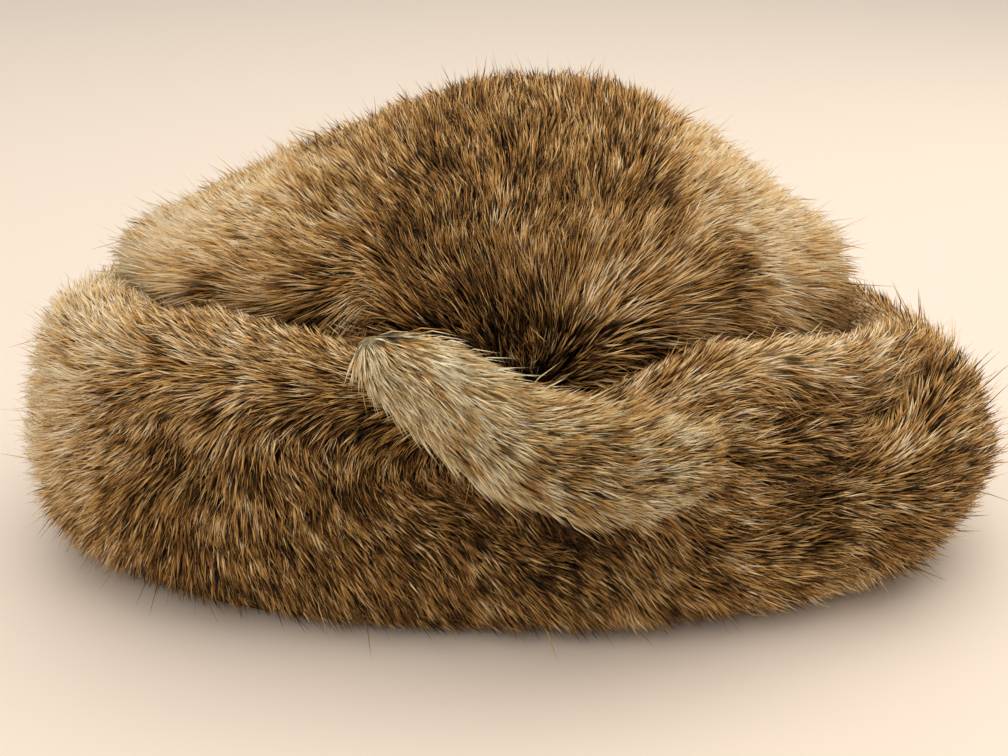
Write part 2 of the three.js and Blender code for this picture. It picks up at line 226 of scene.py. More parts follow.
def normal_of(surface, angle, share):
    around = surface(angle + 1, share) - surface(angle - 1, share)
    upwards = surface(angle, np.minimum(share + 0.01, 1)) - surface(angle, np.maximum(share - 0.01, 0))
    return unit(np.cross(around, upwards))


print("crown's top, mm:", crown_at(0.0, 1.0).round(1))
print("cuff's front belly, mm:", cuff_at(270.0, 0.33).round(1))

# %% [markdown]
# Meshes from rings
#
# Every piece of undercoat is a closed skin over rings of points, so one helper makes them all. It
# can close the rings into a loop, as for the cuff, or end them in a point, as for the crown and the
# flap. The signed volume shows whether the faces point outwards, and they are turned round where
# they don't.

# %% Ring helper
def skin_over(name, rings, first_point=None, last_point=None):
    """A closed mesh over rings in mm. Without end points the last ring joins the first."""
    ring_count, places = rings.shape[:2]
    points = rings.reshape(-1, 3)
    here = np.arange(places)
    after = np.roll(here, -1)
    faces = []
    looped = first_point is None
    for i in range(ring_count if looped else ring_count - 1):
        a = i * places
        b = ((i + 1) % ring_count) * places
        faces += np.stack([a + here, a + after, b + after, b + here], 1).tolist()
    if not looped:
        start = len(points)
        points = np.concatenate([points, [first_point], [last_point]])
        a = (ring_count - 1) * places
        faces += np.stack([after, here, np.full(places, start)], 1).tolist()
        faces += np.stack([a + here, a + after, np.full(places, start + 1)], 1).tolist()
    corners = [points[[face[0], face[1], face[2]]] for face in faces]
    corners += [points[[face[0], face[2], face[3]]] for face in faces if len(face) == 4]
    if np.linalg.det(np.array(corners)).sum() < 0:
        faces = [face[::-1] for face in faces]
    mesh = bpy.data.meshes.new(name)
    mesh.from_pydata((points * MM).tolist(), [], faces)
    mesh.polygons.foreach_set("use_smooth", [True] * len(faces))
    mesh.validate()
    piece = bpy.data.objects.new(name, mesh)
    bpy.context.scene.collection.objects.link(piece)
    print(f"{name}: {len(points)} points, {len(faces)} faces")
    return piece


def set_numbers(piece, name, kind, values, domain="POINT"):
    layer = piece.data.attributes.new(name, kind, domain)
    field = "vector" if kind == "FLOAT_VECTOR" else "value"
    layer.data.foreach_set(field, np.ascontiguousarray(values).ravel())


# %% [markdown]
# Smooth chance
#
# Real fur never lies evenly: it parts, clumps and drifts. Blender's own noise, read at each point,
# gives smooth chance that is the same every time the script runs.

# %% Noise helper
def drift(points, scale_mm, offset):
    shift = Vector((offset * 17.3, offset * 5.1, offset * 9.7))
    return np.array([noise.noise(Vector(p) / scale_mm + shift) for p in points])


# %% [markdown]
# The pelt chart
#
# The hat is pieced from agouti pelts: brown-black fur with golden, tan and cream places. Tone runs
# from 0, nearly black, to 1, cream. Each row of the chart is one place seen on the front, by where
# it is across and up the hat, how wide it spreads and its tone. Between them the tone drifts about
# a middle brown. A few rows paint shade into the tone: under the flap, along the right valley and
# crease of the cuff, and in the groove at the front left of the crown.

# %% Pelt chart
PATCH_COLUMNS = ("x", "z", "spread", "tone", "bare")
CROWN_PATCHES = {
    "dark by the top": (-17, 134, 11, 0.28, 0),
    "tan top": (8, 139, 10, 0.28, 0),
    "dark right of the top": (36, 131, 10, 0.38, 0),
    "dark on the right slope": (48, 113, 8, 0.08, 0),
    "black fleck": (67, 96, 7.5, 0.0, 0),
    "pale right slope": (62, 115, 10, 0.9, 0),
    "pale right edge": (81, 106, 15, 1.0, 0),
    "pale right corner": (92, 95, 13, 1.0, 0),
    "grey right corner": (91, 82, 8, 0.5, 0.5),
    "tan right": (40, 98, 14, 0.67, 0),
    "middle": (7, 109, 18, 0.35, 0),
    "dark left of the middle": (-18, 104, 13, 0.2, 0),
    "olive under the middle": (-12, 86, 14, 0.22, 0),
    "rust by the flap": (33, 73, 13, 0.43, 0.9),
    "whorl": (-42, 88, 12, 0.5, 0),
    "tan left slope": (-54, 112, 16, 0.47, 0),
    "tan left": (-58, 100, 12, 0.56, 0),
    "pale left slope": (-78, 112, 16, 0.95, 0),
    "pale left corner": (-102, 99, 17, 1.0, 0),
    "grey left": (-78, 99, 9, 0.7, 0.6),
    # Painted shadow: this row darkens the tone in the hole of the groove between the crown and the cuff.
    "painted shadow in the left groove": (-87, 88, 4, 0.05, 0),
}
CUFF_PATCHES = {
    "golden left": (-78, 80, 16, 0.7, 0),
    "tan crest": (-48, 84, 14, 0.52, 0),
    "tan left": (-103, 66, 18, 0.56, 0),
    "pale far left": (-142, 50, 20, 0.93, 0),
    "pale left shoulder": (-120, 88, 15, 0.95, 0),
    "brown lower left": (-90, 30, 22, 0.32, 0),
    "tan left foot": (-122, 14, 14, 0.5, 0),
    "brown left of the flap": (-54, 62, 14, 0.4, 0),
    "brown front": (-46, 46, 18, 0.32, 0),
    "brown low front": (-20, 26, 22, 0.29, 0),
    # Painted shade: the next two rows darken the tone where the flap's lower edge shades the cuff.
    "painted shade beside the flap": (-8, 48, 10, 0.2, 0),
    "painted shade under the flap": (18, 38, 13, 0.0, 0),
    "brown low right": (54, 26, 16, 0.42, 0),
    "cream right foot": (104, 4, 10, 0.8, 0),
    "beige right crest": (70, 82, 12, 0.82, 0.6),
    "beige shoulder": (88, 84, 12, 0.78, 0.3),
    "tan right shoulder": (104, 82, 13, 0.76, 0),
    # Painted shade: the next three rows darken the tone along the right valley and crease, where the folds
    # lie in shade.
    "painted shade in the right valley": (82, 66, 9, 0.2, 0),
    "painted shade at the end of the valley": (101, 68, 7, 0.34, 0),
    "painted shade in the right crease": (87, 47, 8, 0.16, 0),
    "brown right lump": (112, 45, 15, 0.53, 0),
    "tan right end": (138, 34, 17, 0.4, 0),
    "brown right foot": (107, 22, 14, 0.32, 0),
    "tan right front": (63, 53, 13, 0.54, 0),
    "gold beside the flap": (52, 74, 10, 0.6, 0.4),
}
FLAP_PATCHES = {
    "cream end": (-28, 87, 14, 0.88, 0),
    "cream middle": (-6, 75, 14, 0.8, 0),
    "tan right": (22, 62, 12, 0.6, 0),
    "gold right": (37, 66, 12, 0.61, 0.5),
    "tan end": (48, 54, 12, 0.6, 0),
}
MIDDLE_WEIGHT = 0.1


def patch_shares(points, patches):
    """How strongly each patch of a chart holds at each point in mm, and the chart as columns."""
    patch = table(PATCH_COLUMNS, patches.values())
    across = points[:, 0, None] - patch["x"]
    up = points[:, 2, None] - patch["z"]
    return np.exp(-(np.hypot(across, up) / patch["spread"]) ** 2), patch


def in_front(points):
    """1 on the front half, falling to 0 at the back, where the pelt has one middle tone."""
    return np.clip((70 - points[:, 1]) / 65, 0, 1)


def pelt_tone(points, patches, middle):
    share, patch = patch_shares(points, patches)
    tone = (MIDDLE_WEIGHT * middle + share @ patch["tone"]) / (MIDDLE_WEIGHT + share.sum(1))
    tone = middle + (tone - middle) * in_front(points)
    return np.clip(tone + 0.07 * drift(points, 26, 1) + 0.05 * drift(points, 11, 2), 0, 1)


def bareness(points, patches):
    share, patch = patch_shares(points, patches)
    return (share * patch["bare"]).max(1) * in_front(points)


# %% [markdown]
# How the hair lies
#
# On the crown the hair sweeps away from a pucker low at the front. On the cuff's outer face it
# leans from straight down by an angle that changes round the hat, and along the crest it lies
# nearly level, as the crown's hair beside it does. Both are turned by noise at three sizes, so that
# the coat breaks into locks.

# %% Lie of the hair
CROWN_PARTING = np.array([4, -48, 46])
WHORL = np.array([-42, -48, 88])
WHORL_SPREAD = 12
WHORL_TURN = 110
OVER_THE_CREST = 35
DOWN_THE_BACK = 90
LIE_COLUMNS = ("at", "lean", "crest_lean")
CUFF_LIE = (
    (0, 78, 85),
    (45, 50, 60),
    (90, 25, 25),
    (120, -10, -10),
    (150, -55, -60),
    (180, -80, -85),
    (200, -75, -88),
    (218, -20, -88),
    (234, 35, -85),
    (252, 50, -60),
    (270, 58, 30),
    (300, 68, 88),
    (318, 90, 95),
    (338, 96, 100),
)
LIE = table(LIE_COLUMNS, CUFF_LIE)


def turned(lie, out, degrees):
    a = np.radians(degrees)[:, None]
    return lie * np.cos(a) + np.cross(out, lie) * np.sin(a)


def restless(points, lie, out, amount):
    turn = amount * (0.5 * drift(points, 45, 3) + 0.6 * drift(points, 24, 4) + 0.7 * drift(points, 9, 5))
    return turned(lie, out, turn * 90)


def along_surface(vectors, out):
    return unit(vectors - (vectors * out).sum(-1, keepdims=True) * out)


def low_on_crown(points):
    return np.clip((104 - points[:, 2]) / 20, 0, 1)


def crown_lie(points, out):
    sweep = points - CROWN_PARTING
    sweep[:, 2] -= 0.25 * np.abs(points[:, 0])
    sweep[:, 2] -= DOWN_THE_BACK * np.clip(points[:, 1] / 60, 0, 1)
    sweep[:, 2] -= OVER_THE_CREST * low_on_crown(points) * np.clip(np.abs(points[:, 0]) / 60, 0, 1)
    from_whorl = np.linalg.norm(points - WHORL, axis=1) / WHORL_SPREAD
    lie = turned(along_surface(sweep, out), out, WHORL_TURN * np.exp(-(from_whorl**2)))
    return restless(points, lie, out, 0.6)


def cuff_lie(points, out, angle, on_crest):
    a = np.radians(angle)
    around = along_surface(np.stack([-np.sin(a), np.cos(a), np.zeros_like(a)], -1), out)
    down = np.cross(around, out)
    face, crest = (read_round(LIE["at"], LIE[name], angle) for name in ("lean", "crest_lean"))
    lean = np.radians(face + (crest - face) * on_crest)[:, None]
    return restless(points, np.sin(lean) * around + np.cos(lean) * down, out, 0.55)


# %% [markdown]
# Undercoats
#
# The undercoat is the dense short wool that the strands grow from. It sits a few millimetres inside
# the form of the solid, and the strands fill the rest. The crown's is a shell over the skin, the
# cuff's a closed ring with a flat foot and the flap's a soft pad.

# %% Crown undercoat
ROOT_DEPTH = 6.8
ROUND_STEPS = 144
OVER_THE_SKIN = 0.4
DEEPENS = 9
SHALLOW_FOOT = 1.6


def surface_rings(surface, shares, depth):
    angle, share = np.meshgrid(np.arange(ROUND_STEPS) * 360 / ROUND_STEPS, shares)
    out = normal_of(surface, angle, share)
    return surface(angle, share) - out * np.broadcast_to(depth, share.shape)[..., None], out, angle


FIRST_LEVEL = FIRST_FURRED_ROW / (len(CROWN_ROWS) - 1)
levels = np.linspace(FIRST_LEVEL, 0.985, 56)
outer_depth = ROOT_DEPTH * np.minimum(1, levels[:, None] * DEEPENS - SHALLOW_FOOT)
outer, outer_out, _ = surface_rings(crown_at, levels, outer_depth)
inner_levels = np.linspace(0.97, FIRST_LEVEL, 16)
inner_depth = read_along(CROWN["coat"], inner_levels)[:, None] - OVER_THE_SKIN
inner, inner_out, _ = surface_rings(crown_at, inner_levels, inner_depth)
top = crown_at(0.0, 1.0)
crown_coat = skin_over(
    "crown_undercoat",
    np.concatenate([inner, outer]),
    top - [0, 0, CROWN["coat"][-1] - OVER_THE_SKIN],
    top - [0, 0, ROOT_DEPTH],
)

# %% Cuff undercoat
RISES_OVER = 0.12
BEHIND_FROM = 0.74
BEHIND_OVER = 0.12
SHALLOWER_BEHIND = 0.55
girths = np.linspace(0, 1, 50)
rise_in = np.clip(girths / RISES_OVER, 0, 1)[:, None]
behind_crest = np.clip((girths - BEHIND_FROM) / BEHIND_OVER, 0, 1)[:, None]
cuff_depth = ROOT_DEPTH * rise_in * (1 - SHALLOWER_BEHIND * behind_crest)
cuff_rings, cuff_out, cuff_angle = surface_rings(cuff_at, girths, cuff_depth)
cuff_rings[..., 2] = np.maximum(cuff_rings[..., 2], 0)
ring_angle = np.arange(ROUND_STEPS) * 360 / ROUND_STEPS
wall = oval_radius(ring_angle, OPENING["half_width"], OPENING["half_depth"], OPENING["squareness"])
wall_x = wall * np.cos(np.radians(ring_angle))
wall_y = BACK_OF_MIDDLE + wall * np.sin(np.radians(ring_angle))
foot_ring = np.stack([wall_x, wall_y, np.zeros(ROUND_STEPS)], -1)[None]
cuff_coat = skin_over("cuff_undercoat", np.concatenate([cuff_rings, foot_ring]))


# %% Flap undercoat
def flap_bed(along, across):
    def place(share):
        x = np.radians(read_along(FLAP["at"], share)) * FLAP_RADIUS
        return np.stack([x, read_along(FLAP["girth"], share) * FACE_LENGTH], -1)

    ahead = unit(place(np.minimum(along + 0.05, 1)) - place(np.maximum(along - 0.05, 0)))
    sideways = np.stack([-ahead[..., 1], ahead[..., 0]], -1)
    spot = place(along) + sideways * (across * read_along(FLAP["half"], along))[..., None]
    angle = np.degrees(spot[..., 0] / FLAP_RADIUS)
    girth = np.clip(spot[..., 1] / FACE_LENGTH, 0.02, 0.98)
    return cuff_at(angle, girth), normal_of(cuff_at, angle, girth)


FLAP_ROOT = 0.62
FLAP_INSET = 0.62
FLAP_SHIFT = 0.02
FLAP_SIDES = 48
flap_turns = np.arange(FLAP_SIDES) * 2 * np.pi / FLAP_SIDES
along, turn = np.meshgrid(np.linspace(0.03, 0.93, 64), flap_turns, indexing="ij")
ends = np.sqrt(np.maximum(0, 1 - (2 * along - 1) ** 6))
bed, bed_out = flap_bed(along, FLAP_SHIFT + FLAP_INSET * np.cos(turn) * ends)
height = FLAP_ROOT * read_along(FLAP["thick"], along) * ends * np.maximum(0, np.sin(turn)) ** 0.7
flap_rings = bed + bed_out * (FLAP_SEAT + height)[..., None]
flap_ends = [flap_rings[k].mean(0) for k in (0, -1)]
flap_coat = skin_over("flap_undercoat", flap_rings, *flap_ends)

# %% [markdown]
# What each undercoat knows
#
# Each point of an undercoat carries what a strand that grows there needs: the way it lies, the way
# out, its tone, how thick the growth is, how long the hair is and how much it stands up. Faces
# carry a section number, because the strands are made in several pieces.

# %% Fill in the numbers
BARE_THINS = 0.72
TIP_REACH = 8
TIP_RISE = 6
MIDDLE_TONE = 0.40
FLAP_MIDDLE_TONE = 0.62
BARE_FOOT = 0.05
LOW_LENGTHENS = 0.9
LOW_LIFTS = 0.3
BACK_FROM_Y = 10
RIGHT_FROM_X = 2
FUR_ENDS = 0.94
CREST_FROM = 0.5
CREST_OVER = 0.16
BACK_THINS_AT = (0, 10, 170, 198, 345, 360)
BACK_THINS = (0.8, 0.6, 0.6, 1, 1, 0.8)
CUFF_SPLITS = (10, 170, 236, 304)


def teach(piece, lie, out, chart, middle, furred, long, rise, section):
    points = points_of(piece)
    bare = bareness(points + TIP_RISE * out, chart)
    numbers = {
        "tone": pelt_tone(points + TIP_REACH * lie + TIP_RISE * out, chart, middle),
        "wool": pelt_tone(points + TIP_RISE * out, chart, middle),
        "bare": bare,
        "furred": furred * (1 - BARE_THINS * bare),
        "long": long,
        "rise": rise,
    }
    set_numbers(piece, "lie", "FLOAT_VECTOR", lie)
    set_numbers(piece, "out", "FLOAT_VECTOR", out)
    for name, values in numbers.items():
        set_numbers(piece, name, "FLOAT", np.broadcast_to(values, len(out)).astype(float))
    set_numbers(piece, "section", "INT", section, "FACE")
    print(f"{piece.name}: mean tone {numbers['tone'].mean():.2f}, sections {sorted(set(section))}")


def points_of(piece):
    places = np.empty(len(piece.data.vertices) * 3)
    piece.data.vertices.foreach_get("co", places)
    return places.reshape(-1, 3) / MM


def face_centres(piece):
    centres = np.empty(len(piece.data.polygons) * 3)
    piece.data.polygons.foreach_get("center", centres)
    return centres.reshape(-1, 3) / MM


points = points_of(crown_coat)
out = np.concatenate([-inner_out.reshape(-1, 3), outer_out.reshape(-1, 3), [[0, 0, -1], [0, 0, 1]]])
outer_furred = np.repeat(np.clip((levels - FIRST_LEVEL) / BARE_FOOT, 0, 1), ROUND_STEPS)
furred = np.concatenate([np.zeros(inner_out.shape[:2]).ravel(), outer_furred, [0, 1]])
longer_low = 1 + LOW_LENGTHENS * low_on_crown(points) * in_front(points) ** 2
length = (1 + 0.25 * drift(points, 15, 6)) * longer_low
stand = (1 + 0.5 * drift(points, 12, 7)) * (1 + LOW_LIFTS * low_on_crown(points))
centres = face_centres(crown_coat)
third = np.where(centres[:, 1] > BACK_FROM_Y, 2, (centres[:, 0] > RIGHT_FROM_X).astype(int))
lie = crown_lie(points, out)
teach(crown_coat, lie, out, CROWN_PATCHES, MIDDLE_TONE, furred, length, stand, third)

points = points_of(cuff_coat)
out = np.concatenate([cuff_out.reshape(-1, 3), np.tile([[0, 0, -1.0]], (ROUND_STEPS, 1))])
angle = np.concatenate([cuff_angle.ravel(), ring_angle])
furred = np.clip((girths - 0.03) / 0.08, 0, 1) * (girths < FUR_ENDS)
furred = np.repeat(np.append(furred, 0), ROUND_STEPS)
furred = furred * np.interp(angle, BACK_THINS_AT, BACK_THINS)
on_crest = np.repeat(np.append(np.clip((girths - CREST_FROM) / CREST_OVER, 0, 1), 0), ROUND_STEPS)
facing_crown = np.repeat(np.append(behind_crest, 0), ROUND_STEPS)
length = (1 + 0.25 * drift(points, 15, 8)) * (1 - 0.5 * facing_crown)
stand = (1 + 0.5 * drift(points, 12, 9)) * (1 - 0.5 * on_crest) * (1 - 0.7 * facing_crown)
centres = face_centres(cuff_coat)
face_angle = np.mod(np.degrees(np.arctan2(centres[:, 1] - BACK_OF_MIDDLE, centres[:, 0])), 360)
quarter = np.searchsorted(CUFF_SPLITS, face_angle) % len(CUFF_SPLITS)
lie = cuff_lie(points, out, angle, on_crest)
teach(cuff_coat, lie, out, CUFF_PATCHES, MIDDLE_TONE, furred, length, stand, quarter)

points = points_of(flap_coat)
flap_out = np.concatenate([bed_out.reshape(-1, 3), bed_out[0].mean(0)[None], bed_out[-1].mean(0)[None]])
flap_middle = flap_rings.mean(1, keepdims=True)
rounded = unit(flap_rings - flap_middle).reshape(-1, 3)
out = unit(np.concatenate([rounded, flap_out[-2:]]) + 0.8 * flap_out)
ahead = np.gradient(flap_middle[:, 0], axis=0)
ahead = np.concatenate([np.repeat(ahead, FLAP_SIDES, axis=0), ahead[:1], ahead[-1:]])
top_side = np.append((np.sin(turn) > 0.05).ravel().astype(float), [1, 1])
way_along = np.append(along.ravel(), [0, 1])
curl_down = np.clip(1 - way_along / 0.2, 0, 1)[:, None]
ahead = unit(ahead) * (1 - curl_down) + np.array([-0.3, 0, -1]) * curl_down
lie = restless(points, along_surface(ahead, out), out, 0.4)
length = (1 + 0.2 * drift(points, 12, 10)) * (1 - 0.5 * np.clip((way_along - 0.7) / 0.3, 0, 1))
whole = np.zeros(len(flap_coat.data.polygons), int)
teach(flap_coat, lie, out, FLAP_PATCHES, FLAP_MIDDLE_TONE, top_side, length, 1.0, whole)

# %% [markdown]
# Strand shapes
#
# A hair of this fur is a fine root that widens to a flat shield and ends in a point. The dense coat
# is made of closed slivers of four triangles with their widest place past the middle. Longer,
# looser hairs are spindles of six triangles with a real bend. Lengths are in strand lengths and
# side steps in strand widths, because each copy is scaled by both. Each point carries how far along
# the strand it is and which side it is on.

# %% Strands
SLIVER_COLUMNS = ("shield", "shield_step", "tip", "tip_step")
SLIVERS = (
    (0.02, 0.8, -0.02, 2.0),
    (0.05, -0.6, 0.03, -1.5),
    (0.0, 0.3, -0.05, 2.8),
    (0.03, -1.0, 0.0, -3.0),
)
BOWS = ((0.09, 2.0, 0.03, 6.0), (0.07, -2.5, -0.05, -7.0), (0.12, 1.0, 0.05, 4.0))
GUARDS = ((-0.03, 3.0, 0.0, 10.0), (-0.05, -3.0, -0.05, -12.0), (0.05, 1.0, 0.10, 6.0))
SHIELD_AT = 0.62
BOW_AT = 0.52
BOW_THICKNESS = 0.02


def strand_shape(name, points, faces, along_hair, side):
    mesh = bpy.data.meshes.new(name)
    corners = np.array([[points[i] for i in face] for face in faces])
    if np.linalg.det(corners).sum() < 0:
        faces = [face[::-1] for face in faces]
    mesh.from_pydata(points, [], faces)
    for label, values in (("along", along_hair), ("side", side)):
        mesh.attributes.new(label, "FLOAT", "POINT").data.foreach_set("value", values)
    return bpy.data.objects.new(name, mesh)


def slivers(name, rows):
    box = bpy.data.collections.new(name)
    for k, row in enumerate(rows):
        at = dict(zip(SLIVER_COLUMNS, row))
        left = (SHIELD_AT, at["shield_step"] + 0.5, at["shield"])
        right = (SHIELD_AT, at["shield_step"] - 0.5, at["shield"])
        points = [(0, 0, 0), left, right, (1, at["tip_step"], at["tip"])]
        faces = [(0, 2, 1), (1, 2, 3), (0, 1, 3), (0, 3, 2)]
        shape = strand_shape(f"{name}_{k}", points, faces, (0, SHIELD_AT, SHIELD_AT, 1), (0, 1, -1, 0))
        box.objects.link(shape)
    return box


def spindles(name, rows):
    box = bpy.data.collections.new(name)
    for k, row in enumerate(rows):
        at = dict(zip(SLIVER_COLUMNS, row))
        low, high = at["shield"] - BOW_THICKNESS / 2, at["shield"] + BOW_THICKNESS / 2
        ring = [(BOW_AT, at["shield_step"] + step, z) for step, z in ((0.5, low), (-0.5, low), (0, high))]
        points = [(0, 0, 0), *ring, (1, at["tip_step"], at["tip"])]
        faces = []
        for i, j in ((1, 2), (2, 3), (3, 1)):
            faces += [(0, j, i), (i, j, 4)]
        shape = strand_shape(f"{name}_{k}", points, faces, (0, BOW_AT, BOW_AT, BOW_AT, 1), (0, 1, -1, 0, 0))
        box.objects.link(shape)
    return box


coat_strands = slivers("coat_strand", SLIVERS)
loose_strands = spindles("loose_strand", BOWS)
guard_strands = spindles("guard_strand", GUARDS)
STRAND_SHAPES = 12

# %% [markdown]
# The fur tree
#
# One Geometry Nodes tree grows all the fur. It scatters roots over a section of an undercoat and a
# thinner scatter of clump roots. Each strand aims along its own lie, is drawn part of the way to
# the tip of the nearest clump, and is kept pointing a little outward and above the table. Its tone
# is the pelt's, moved by its clump, by a fleck of noise and by a tick that makes some hairs dark.
# Instances are realized, and a map named OFBake takes tone across and the way along the strand up,
# so that a small picture can hold the colours of every strand.

# %% Node helpers
def add_node(tree, kind, **settings):
    made = tree.nodes.new(kind)
    for name, value in settings.items():
        setattr(made, name, value)
    return made


def way_in(made, name, which=0):
    return [s for s in made.inputs if s.name == name and s.enabled][which]


def way_out(made, name):
    return [s for s in made.outputs if s.name == name and s.enabled][0]


def feed(tree, made, **sources):
    for name, source in sources.items():
        socket = way_in(made, name.replace("_", " "))
        if isinstance(source, bpy.types.NodeSocket):
            tree.links.new(source, socket)
        else:
            socket.default_value = source
    return made


def sum_up(tree, operation, a, b=None, vector=True):
    kind = "ShaderNodeVectorMath" if vector else "ShaderNodeMath"
    made = add_node(tree, kind, operation=operation)
    ways = [s for s in made.inputs if s.enabled]
    for socket, source in zip(ways, (a, b)):
        if isinstance(source, bpy.types.NodeSocket):
            tree.links.new(source, socket)
        elif source is not None:
            socket.default_value = source
    return next(s for s in made.outputs if s.enabled)


def scaled(tree, vector, factor):
    made = add_node(tree, "ShaderNodeVectorMath", operation="SCALE")
    tree.links.new(vector, made.inputs[0])
    socket = way_in(made, "Scale")
    if isinstance(factor, bpy.types.NodeSocket):
        tree.links.new(factor, socket)
    else:
        socket.default_value = factor
    return made.outputs[0]


def named(tree, name, kind="FLOAT"):
    made = add_node(tree, "GeometryNodeInputNamedAttribute", data_type=kind)
    made.inputs["Name"].default_value = name
    return way_out(made, "Attribute")


def chance(tree, low, high, seed, kind="FLOAT"):
    made = add_node(tree, "FunctionNodeRandomValue", data_type=kind)
    return way_out(feed(tree, made, Min=low, Max=high, Seed=seed), "Value")


# %% Build the fur tree
FUR_INPUTS = (
    ("Undercoat", "NodeSocketGeometry"),
    ("Strands", "NodeSocketCollection"),
    ("Section", "NodeSocketInt"),
    ("Per Square Metre", "NodeSocketFloat"),
    ("Length", "NodeSocketFloat"),
    ("Width", "NodeSocketFloat"),
    ("Lift", "NodeSocketFloat"),
    ("Unrest", "NodeSocketFloat"),
    ("Clumps Per Square Metre", "NodeSocketFloat"),
    ("Clumping", "NodeSocketFloat"),
    ("Ticking", "NodeSocketFloat"),
    ("Paler", "NodeSocketFloat"),
    ("Seed", "NodeSocketInt"),
    ("Finish", "NodeSocketMaterial"),
)
FLOOR_CLEARANCE = 0.0022
LEAST_OUTWARD = 0.15
FLECK_SCALE = 240.0
FLECK_DEPTH = 1.4
BAND_SHIFT = 0.16


